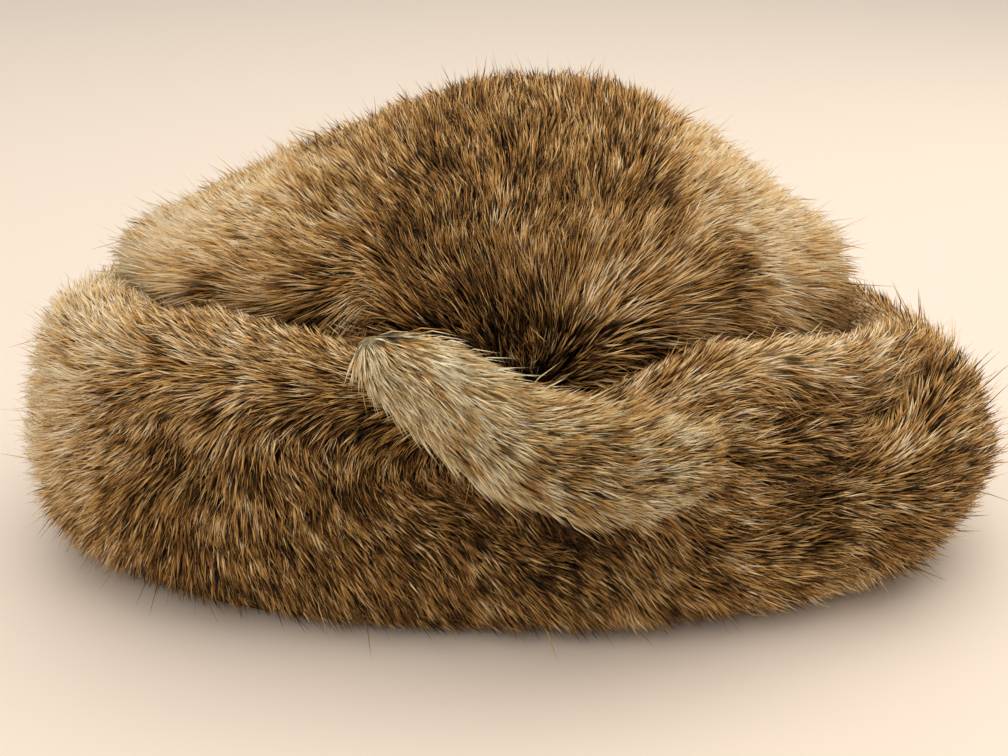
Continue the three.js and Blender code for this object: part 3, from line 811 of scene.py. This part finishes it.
def build_fur_tree():
    tree = bpy.data.node_groups.new("fur", "GeometryNodeTree")
    tree.is_modifier = True
    ids = {}
    for name, kind in FUR_INPUTS:
        ids[name] = tree.interface.new_socket(name, in_out="INPUT", socket_type=kind).identifier
    tree.interface.new_socket("Fur", in_out="OUTPUT", socket_type="NodeSocketGeometry")
    start = add_node(tree, "NodeGroupInput").outputs
    coat = start["Undercoat"]

    here = add_node(tree, "FunctionNodeCompare", data_type="INT", operation="EQUAL")
    feed(tree, here, A=named(tree, "section", "INT"), B=start["Section"])
    growth = sum_up(tree, "MULTIPLY", start["Per Square Metre"], named(tree, "furred"), vector=False)
    roots = add_node(tree, "GeometryNodeDistributePointsOnFaces")
    feed(tree, roots, Mesh=coat, Selection=way_out(here, "Result"), Density=growth, Seed=start["Seed"])
    clumps = add_node(tree, "GeometryNodeDistributePointsOnFaces")
    feed(tree, clumps, Mesh=coat, Density=start["Clumps Per Square Metre"], Seed=7)

    place = add_node(tree, "GeometryNodeInputPosition").outputs[0]
    lie = named(tree, "lie", "FLOAT_VECTOR")
    out = named(tree, "out", "FLOAT_VECTOR")
    length = sum_up(tree, "MULTIPLY", start["Length"], named(tree, "long"), vector=False)
    length = sum_up(tree, "MULTIPLY", length, chance(tree, 0.65, 1.25, 11), vector=False)
    lift = sum_up(tree, "MULTIPLY", start["Lift"], named(tree, "rise"), vector=False)
    own_lift = sum_up(tree, "MULTIPLY", lift, chance(tree, 0.4, 1.6, 12), vector=False)

    wander = scaled(tree, chance(tree, (-1, -1, -1), (1, 1, 1), 13, "FLOAT_VECTOR"), start["Unrest"])
    own = sum_up(tree, "ADD", sum_up(tree, "ADD", lie, wander), scaled(tree, out, own_lift))
    own = scaled(tree, sum_up(tree, "NORMALIZE", own), length)

    nearest = add_node(tree, "GeometryNodeSampleNearest", domain="POINT")
    feed(tree, nearest, Geometry=clumps.outputs["Points"])

    def of_clump(value, kind="FLOAT_VECTOR"):
        made = add_node(tree, "GeometryNodeSampleIndex", data_type=kind, domain="POINT")
        feed(tree, made, Geometry=clumps.outputs["Points"], Value=value, Index=nearest.outputs["Index"])
        return way_out(made, "Value")

    clump_aim = sum_up(tree, "ADD", of_clump(lie), scaled(tree, of_clump(out), lift))
    clump_aim = scaled(tree, sum_up(tree, "NORMALIZE", clump_aim), length)
    to_clump = sum_up(tree, "SUBTRACT", sum_up(tree, "ADD", of_clump(place), clump_aim), place)
    pull = sum_up(tree, "MULTIPLY", start["Clumping"], chance(tree, 0.3, 1.3, 14), vector=False)
    aim = sum_up(tree, "ADD", own, scaled(tree, sum_up(tree, "SUBTRACT", to_clump, own), pull))

    outward = add_node(tree, "ShaderNodeVectorMath", operation="DOT_PRODUCT")
    tree.links.new(aim, outward.inputs[0])
    tree.links.new(out, outward.inputs[1])
    least = sum_up(tree, "MULTIPLY", length, LEAST_OUTWARD, vector=False)
    short_by = sum_up(tree, "SUBTRACT", least, outward.outputs["Value"], vector=False)
    short_by = sum_up(tree, "MAXIMUM", short_by, 0.0, vector=False)
    aim = sum_up(tree, "ADD", aim, scaled(tree, out, short_by))

    split = add_node(tree, "ShaderNodeSeparateXYZ")
    tree.links.new(aim, split.inputs[0])
    root_split = add_node(tree, "ShaderNodeSeparateXYZ")
    tree.links.new(place, root_split.inputs[0])
    lowest = sum_up(tree, "SUBTRACT", FLOOR_CLEARANCE, root_split.outputs["Z"], vector=False)
    kept_up = sum_up(tree, "MAXIMUM", split.outputs["Z"], lowest, vector=False)
    joined = add_node(tree, "ShaderNodeCombineXYZ")
    feed(tree, joined, X=split.outputs["X"], Y=split.outputs["Y"], Z=kept_up)
    aim = joined.outputs[0]

    dark = sum_up(tree, "POWER", chance(tree, 0.0, 1.0, 15), 3.0, vector=False)
    tick = sum_up(tree, "SUBTRACT", 0.25, dark, vector=False)
    tick = sum_up(tree, "MULTIPLY", tick, start["Ticking"], vector=False)
    fleck = add_node(tree, "ShaderNodeTexNoise")
    feed(tree, fleck, Vector=place, Scale=FLECK_SCALE, Detail=1.0)
    flecked = sum_up(tree, "SUBTRACT", fleck.outputs[0], 0.5, vector=False)
    flecked = sum_up(tree, "MULTIPLY", flecked, FLECK_DEPTH, vector=False)
    tone = named(tree, "tone")
    less_when_pale = sum_up(tree, "SUBTRACT", 1.15, tone, vector=False)
    tick = sum_up(tree, "MULTIPLY", tick, less_when_pale, vector=False)
    own_clump = of_clump(chance(tree, -0.12, 0.12, 16), "FLOAT")
    for part in (tick, flecked, own_clump, chance(tree, -0.06, 0.06, 18), start["Paler"]):
        tone = sum_up(tree, "ADD", tone, part, vector=False)
    toned = add_node(tree, "GeometryNodeStoreNamedAttribute", data_type="FLOAT", domain="POINT")
    feed(tree, toned, Geometry=roots.outputs["Points"], Name="hair_tone", Value=tone)
    banded = add_node(tree, "GeometryNodeStoreNamedAttribute", data_type="FLOAT", domain="POINT")
    band_start = chance(tree, 0.0, BAND_SHIFT, 19)
    feed(tree, banded, Geometry=toned.outputs[0], Name="band_start", Value=band_start)

    shapes = add_node(tree, "GeometryNodeCollectionInfo")
    feed(tree, shapes, Collection=start["Strands"], Separate_Children=True, Reset_Children=True)
    turn = add_node(tree, "FunctionNodeAxesToRotation", primary_axis="X", secondary_axis="Z")
    feed(tree, turn, Primary_Axis=aim, Secondary_Axis=out)
    grown = add_node(tree, "GeometryNodeInstanceOnPoints")
    long = sum_up(tree, "LENGTH", aim)
    wide = sum_up(tree, "MULTIPLY", start["Width"], chance(tree, 0.7, 1.3, 20), vector=False)
    size = add_node(tree, "ShaderNodeCombineXYZ")
    feed(tree, size, X=long, Y=wide, Z=long)
    feed(tree, grown, Points=banded.outputs[0], Instance=shapes.outputs[0], Pick_Instance=True,
         Instance_Index=chance(tree, 0, STRAND_SHAPES - 1, 17, "INT"), Rotation=turn.outputs[0])
    tree.links.new(size.outputs[0], way_in(grown, "Scale"))
    real = add_node(tree, "GeometryNodeRealizeInstances")
    feed(tree, real, Geometry=grown.outputs[0])

    across = sum_up(tree, "MULTIPLY", named(tree, "side"), 0.004, vector=False)
    across = sum_up(tree, "ADD", across, named(tree, "hair_tone"), vector=False)
    kept = add_node(tree, "ShaderNodeClamp")
    feed(tree, kept, Value=across, Min=0.006, Max=0.994)
    up = sum_up(tree, "MULTIPLY", named(tree, "along"), 1 - BAND_SHIFT, vector=False)
    up = sum_up(tree, "ADD", up, named(tree, "band_start"), vector=False)
    spot = add_node(tree, "ShaderNodeCombineXYZ")
    feed(tree, spot, X=kept.outputs[0], Y=up)
    mapped = add_node(tree, "GeometryNodeStoreNamedAttribute", data_type="FLOAT2", domain="CORNER")
    feed(tree, mapped, Geometry=real.outputs[0], Name="OFBake", Value=spot.outputs[0])
    smooth = add_node(tree, "GeometryNodeSetShadeSmooth")
    feed(tree, smooth, Geometry=mapped.outputs[0])
    finish = add_node(tree, "GeometryNodeSetMaterial")
    feed(tree, finish, Geometry=smooth.outputs[0], Material=start["Finish"])
    tree.links.new(finish.outputs[0], add_node(tree, "NodeGroupOutput").inputs[0])
    return tree, ids


fur_tree, fur_ids = build_fur_tree()
print("nodes in the fur tree:", len(fur_tree.nodes))

# %% [markdown]
# Fur finishes
#
# An agouti hair is dark at the root, has a broad coloured band and ends in a tip that may be darker
# again. The finish reads the strand's own map: across it picks the band's colour from black-brown
# through gold and tan to cream, and along it goes from root to tip. The palest hairs are nearly
# plain from root to tip. Roughness is fairly high and the gloss low, as on soft dry fur.

# %% Fur finish
def ramp_of(tree, stops):
    ramp = add_node(tree, "ShaderNodeValToRGB")
    marks = ramp.color_ramp.elements
    while len(marks) < len(stops):
        marks.new(0.5)
    for mark, (place, colour) in zip(marks, stops):
        mark.position = place
        mark.color = (*colour, 1)
    return ramp


def blend_colours(tree, kind, factor, a, b):
    made = add_node(tree, "ShaderNodeMix", data_type="RGBA", blend_type=kind)
    feed(tree, made, Factor=factor, A=a, B=b)
    return way_out(made, "Result")


AGOUTI_STOPS = (
    (0.0, (0.014, 0.008, 0.004)),
    (0.2, (0.08, 0.036, 0.010)),
    (0.4, (0.32, 0.152, 0.040)),
    (0.55, (0.58, 0.31, 0.088)),
    (0.7, (0.78, 0.49, 0.185)),
    (0.85, (0.91, 0.68, 0.37)),
    (1.0, (0.98, 0.84, 0.60)),
)
PALE_STOPS = (
    (0.0, (0.014, 0.008, 0.004)),
    (0.2, (0.085, 0.043, 0.014)),
    (0.4, (0.34, 0.165, 0.040)),
    (0.55, (0.62, 0.335, 0.098)),
    (0.7, (0.75, 0.52, 0.225)),
    (0.85, (0.85, 0.70, 0.41)),
    (1.0, (0.95, 0.85, 0.62)),
)


def fur_finish(name, stops, root_shade):
    finish = bpy.data.materials.new(name)
    finish.use_nodes = True
    tree = finish.node_tree
    shader = tree.nodes["Principled BSDF"]
    spot = add_node(tree, "ShaderNodeUVMap", uv_map="OFBake")
    split = add_node(tree, "ShaderNodeSeparateXYZ")
    tree.links.new(spot.outputs[0], split.inputs[0])
    band = ramp_of(tree, stops)
    tree.links.new(split.outputs["X"], band.inputs[0])
    grey = (root_shade,) * 3
    tip_shade = (0.2, 0.17, 0.15)
    shade = ramp_of(tree, ((0.0, grey), (0.4, grey), (0.6, (1, 1, 1)), (0.85, (1, 1, 1)), (1.0, tip_shade)))
    tree.links.new(split.outputs["Y"], shade.inputs[0])
    plain = ramp_of(tree, ((0.68, (0, 0, 0)), (0.95, (0.75, 0.75, 0.75))))
    tree.links.new(split.outputs["X"], plain.inputs[0])
    shaded = blend_colours(tree, "MIX", plain.outputs[0], shade.outputs[0], (1, 1, 1, 1))
    colour = blend_colours(tree, "MULTIPLY", 1.0, band.outputs[0], shaded)
    tree.links.new(colour, shader.inputs["Base Color"])
    shader.inputs["Roughness"].default_value = 0.6
    shader.inputs["Specular IOR Level"].default_value = 0.16
    return finish


agouti_hair = fur_finish("agouti_hair", AGOUTI_STOPS, 0.2)
pale_hair = fur_finish("pale_hair", PALE_STOPS, 0.24)

# %% [markdown]
# The undercoat's finish reads the same tones from its points, but much darker, because it lies in
# the shade of the strands. In the few bare places, where the hair is thin, the wool shows in its
# own colour. A fine noise in colour and bump keeps it woolly.

# %% Undercoat finish
def undercoat_finish(name, stops):
    finish = bpy.data.materials.new(name)
    finish.use_nodes = True
    tree = finish.node_tree
    shader = tree.nodes["Principled BSDF"]
    tone = add_node(tree, "ShaderNodeAttribute", attribute_name="wool")
    band = ramp_of(tree, stops)
    place = add_node(tree, "ShaderNodeTexCoord")
    wool = add_node(tree, "ShaderNodeTexNoise")
    feed(tree, wool, Vector=place.outputs["Object"], Scale=900.0, Detail=3.0)
    shade = ramp_of(tree, ((0.3, (0.12, 0.11, 0.10)), (0.75, (0.5, 0.48, 0.45))))
    tree.links.new(tone.outputs["Fac"], band.inputs[0])
    tree.links.new(wool.outputs[0], shade.inputs[0])
    bare = add_node(tree, "ShaderNodeAttribute", attribute_name="bare")
    open_wool = ramp_of(tree, ((0.3, (0.62, 0.6, 0.58)), (0.7, (1, 1, 1))))
    tree.links.new(wool.outputs[0], open_wool.inputs[0])
    shown = blend_colours(tree, "MIX", bare.outputs["Fac"], shade.outputs[0], open_wool.outputs[0])
    colour = blend_colours(tree, "MULTIPLY", 1.0, band.outputs[0], shown)
    tree.links.new(colour, shader.inputs["Base Color"])
    bump = add_node(tree, "ShaderNodeBump")
    feed(tree, bump, Strength=0.8, Distance=0.0008, Height=wool.outputs[0])
    tree.links.new(bump.outputs[0], shader.inputs["Normal"])
    shader.inputs["Roughness"].default_value = 0.9
    shader.inputs["Specular IOR Level"].default_value = 0.1
    return finish


agouti_wool = undercoat_finish("agouti_wool", AGOUTI_STOPS)
pale_wool = undercoat_finish("pale_wool", PALE_STOPS)
crown_coat.data.materials.append(agouti_wool)
cuff_coat.data.materials.append(agouti_wool)
flap_coat.data.materials.append(pale_wool)

# %% [markdown]
# Growing the fur
#
# Each row below is one piece of fur: the undercoat it grows on, the section of it, and its numbers.
# The strands are kept in pieces of fewer than 200,000 triangles.

# %% Grow
FUR_COLUMNS = (
    "coat", "section", "strands", "per_m2",
    "length", "width", "lift", "unrest", "clumps", "clumping", "ticking", "paler", "finish",
)
CROWN_SPLIT = {"front_left": 0, "front_right": 1, "back": 2}
CUFF_SPLIT = {"left": 2, "front": 3, "right": 0, "back": 1}
CROWN_PER_M2 = {"front_left": 3.1e6, "front_right": 3.1e6, "back": 1.0e6}
CUFF_PER_M2 = {"left": 2.3e6, "front": 3.0e6, "right": 2.3e6, "back": 1.35e6}
FLAP_PER_M2 = 4.5e6
UNREST = {"left": 0.42, "front": 0.3, "right": 0.3, "back": 0.32}
LOOSE_PER_M2 = 1.1e5
GUARD_PER_M2 = 2.0e4
HAIR_WIDTH = 0.00021
GUARD_WIDTH = 0.00014
BACK_WIDENS = 1.6
CROWN_CLUMPS = 1.6e5
CUFF_CLUMPS = 1.4e5
FUR_PIECES = {}
for place, number in CROWN_SPLIT.items():
    wide = HAIR_WIDTH * (BACK_WIDENS if place == "back" else 1)
    FUR_PIECES[f"crown_hair_{place}"] = (
        crown_coat, number, coat_strands, CROWN_PER_M2[place],
        0.0098, wide, 0.62, 0.34, CROWN_CLUMPS, 0.14, 1.25, 0.0, agouti_hair,
    )
    FUR_PIECES[f"crown_loose_hair_{place}"] = (
        crown_coat, number, loose_strands, LOOSE_PER_M2,
        0.013, HAIR_WIDTH, 0.64, 0.42, CROWN_CLUMPS, 0.1, 0.3, 0.16, agouti_hair,
    )
    FUR_PIECES[f"crown_guard_hair_{place}"] = (
        crown_coat, number, guard_strands, GUARD_PER_M2,
        0.0155, GUARD_WIDTH, 0.85, 0.4, CROWN_CLUMPS, 0.05, 0.6, -0.1, agouti_hair,
    )
for place, number in CUFF_SPLIT.items():
    wide = HAIR_WIDTH * (BACK_WIDENS if place == "back" else 1)
    FUR_PIECES[f"cuff_hair_{place}"] = (
        cuff_coat, number, coat_strands, CUFF_PER_M2[place],
        0.0108, wide, 0.58, UNREST[place], CUFF_CLUMPS, 0.14, 1.25, 0.0, agouti_hair,
    )
    FUR_PIECES[f"cuff_loose_hair_{place}"] = (
        cuff_coat, number, loose_strands, LOOSE_PER_M2,
        0.015, HAIR_WIDTH, 0.6, 0.44, CUFF_CLUMPS, 0.1, 0.3, 0.16, agouti_hair,
    )
    FUR_PIECES[f"cuff_guard_hair_{place}"] = (
        cuff_coat, number, guard_strands, GUARD_PER_M2,
        0.018, GUARD_WIDTH, 0.85, 0.4, CUFF_CLUMPS, 0.05, 0.6, -0.1, agouti_hair,
    )
FUR_PIECES["flap_hair"] = (
    flap_coat, 0, coat_strands, FLAP_PER_M2,
    0.012, HAIR_WIDTH, 0.32, 0.24, CUFF_CLUMPS, 0.16, 1.6, 0.0, pale_hair,
)
FUR_PIECES["flap_loose_hair"] = (
    flap_coat, 0, loose_strands, 2.5 * LOOSE_PER_M2,
    0.015, HAIR_WIDTH, 0.34, 0.3, CUFF_CLUMPS, 0.15, 0.3, 0.12, pale_hair,
)
SPARE_LAYERS = (
    "lie", "out", "tone", "wool", "bare", "furred", "long", "rise", "section",
    "hair_tone", "band_start", "along", "side",
)


def drop_layers(mesh, names):
    for name in names:
        if name in mesh.attributes:
            mesh.attributes.remove(mesh.attributes[name])


def grow(name, seed, row):
    value = dict(zip(FUR_COLUMNS, row))
    host = bpy.data.objects.new("fur_host", value["coat"].data)
    bpy.context.scene.collection.objects.link(host)
    modifier = host.modifiers.new("fur", "NODES")
    modifier.node_group = fur_tree
    settings = {
        "Strands": value["strands"],
        "Section": value["section"],
        "Per Square Metre": value["per_m2"],
        "Length": value["length"],
        "Width": value["width"],
        "Lift": value["lift"],
        "Unrest": value["unrest"],
        "Clumps Per Square Metre": value["clumps"],
        "Clumping": value["clumping"],
        "Ticking": value["ticking"],
        "Paler": value["paler"],
        "Seed": seed,
        "Finish": value["finish"],
    }
    for label, number in settings.items():
        modifier[fur_ids[label]] = number
    ready = host.evaluated_get(bpy.context.evaluated_depsgraph_get())
    mesh = bpy.data.meshes.new_from_object(ready)
    bpy.data.objects.remove(host)
    drop_layers(mesh, SPARE_LAYERS)
    mesh.name = name
    piece = bpy.data.objects.new(name, mesh)
    bpy.context.scene.collection.objects.link(piece)
    return piece


def triangles(piece):
    return sum(len(face.vertices) - 2 for face in piece.data.polygons)


fur = {name: grow(name, 100 + k, row) for k, (name, row) in enumerate(FUR_PIECES.items())}
counts = {name: triangles(piece) for name, piece in fur.items()}
for name, count in counts.items():
    print(f"{name}: {count} triangles, maps {list(fur[name].data.uv_layers.keys())}")
print("triangles in all strands:", sum(counts.values()))
for coat in (crown_coat, cuff_coat, flap_coat):
    drop_layers(coat.data, [name for name in SPARE_LAYERS if name not in ("wool", "bare")])

# %% [markdown]
# The skin inside
#
# The crown's skin shows only from below. It is the flesh side of the pelt, a matt pale suede with a
# soft mottle and a fine nap.

# %% Skin finish
SUEDE_STOPS = (
    (0.3, (0.36, 0.25, 0.15)),
    (0.55, (0.5, 0.37, 0.24)),
    (0.75, (0.6, 0.47, 0.33)),
)


def skin_finish():
    finish = bpy.data.materials.new("suede_skin")
    finish.use_nodes = True
    tree = finish.node_tree
    shader = tree.nodes["Principled BSDF"]
    place = add_node(tree, "ShaderNodeTexCoord")
    mottle = add_node(tree, "ShaderNodeTexNoise")
    feed(tree, mottle, Vector=place.outputs["Object"], Scale=45.0, Detail=4.0)
    nap = add_node(tree, "ShaderNodeTexNoise")
    feed(tree, nap, Vector=place.outputs["Object"], Scale=1400.0, Detail=2.0)
    colour = ramp_of(tree, SUEDE_STOPS)
    tree.links.new(mottle.outputs[0], colour.inputs[0])
    tree.links.new(colour.outputs[0], shader.inputs["Base Color"])
    bump = add_node(tree, "ShaderNodeBump")
    feed(tree, bump, Strength=0.35, Distance=0.0004, Height=nap.outputs[0])
    tree.links.new(bump.outputs[0], shader.inputs["Normal"])
    shader.inputs["Roughness"].default_value = 0.92
    shader.inputs["Sheen Weight"].default_value = 0.2
    return finish


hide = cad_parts["crown_hide"]
hide.data.materials.clear()
hide.data.materials.append(skin_finish())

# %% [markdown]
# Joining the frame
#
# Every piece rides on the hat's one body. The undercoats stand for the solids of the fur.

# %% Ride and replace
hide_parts("crown_fur")
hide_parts("cuff")
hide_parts("front_flap")
for piece in (crown_coat, cuff_coat, flap_coat, *fur.values()):
    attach(piece, "root")

# %% [markdown]
# Floor, light and camera
#
# A plain pale floor, a broad soft light from above, a weaker one from the front left, a warm one
# low on the right and an even sky. The camera looks a little down on the front of the hat, as in
# the photo.

# %% Stage
FLOOR_REACH = 3.0
FLOOR_HEIGHT = -2e-4


def stage_floor():
    mesh = bpy.data.meshes.new("floor")
    corners = ((-1, -1), (1, -1), (1, 1), (-1, 1))
    points = [(FLOOR_REACH * x, FLOOR_REACH * y, FLOOR_HEIGHT) for x, y in corners]
    mesh.from_pydata(points, [], [(0, 1, 2, 3)])
    floor = bpy.data.objects.new("floor", mesh)
    bpy.context.scene.collection.objects.link(floor)
    finish = bpy.data.materials.new("pale_floor")
    finish.use_nodes = True
    shader = finish.node_tree.nodes["Principled BSDF"]
    shader.inputs["Base Color"].default_value = (0.81, 0.71, 0.615, 1)
    shader.inputs["Roughness"].default_value = 0.55
    mesh.materials.append(finish)


def soft_light(name, place, aim, size, watts, colour):
    light = bpy.data.lights.new(name, "AREA")
    light.shape = "DISK"
    light.size = size
    light.energy = watts
    light.color = colour
    lamp = bpy.data.objects.new(name, light)
    lamp.location = place
    lamp.rotation_euler = (Vector(aim) - Vector(place)).to_track_quat("-Z", "Y").to_euler()
    bpy.context.scene.collection.objects.link(lamp)


stage_floor()
soft_light("high_light", (0.1, 0.1, 1.4), (0, 0, 0.05), 1.6, 11.4, (1.0, 0.96, 0.91))
soft_light("front_light", (-0.6, -1.0, 1.2), (0, 0, 0.05), 1.0, 4.5, (1.0, 0.94, 0.87))
soft_light("right_light", (0.75, 0.35, 0.65), (0, 0, 0.08), 0.7, 1.8, (1.0, 0.88, 0.7))
world = bpy.data.worlds.new("soft_sky")
world.use_nodes = True
world.node_tree.nodes["Background"].inputs["Color"].default_value = (1.0, 0.95, 0.88, 1)
world.node_tree.nodes["Background"].inputs["Strength"].default_value = 0.68
bpy.context.scene.world = world
bpy.context.scene.view_settings.view_transform = "Standard"

# %% Camera
ELEVATION = math.radians(24)
DISTANCE = 0.420
TARGET = Vector((0, -0.0028, 0.046))
WIDTH_OF_VIEW = math.radians(43)
camera_data = bpy.data.cameras.new("camera")
camera_data.sensor_width = 36
camera_data.sensor_fit = "HORIZONTAL"
camera_data.lens = 18 / math.tan(WIDTH_OF_VIEW / 2)
camera_data.clip_start = 0.01
camera = bpy.data.objects.new("camera", camera_data)
camera.location = TARGET + DISTANCE * Vector((0, -math.cos(ELEVATION), math.sin(ELEVATION)))
camera.rotation_euler = (TARGET - camera.location).to_track_quat("-Z", "Y").to_euler()
bpy.context.scene.collection.objects.link(camera)
bpy.context.scene.camera = camera
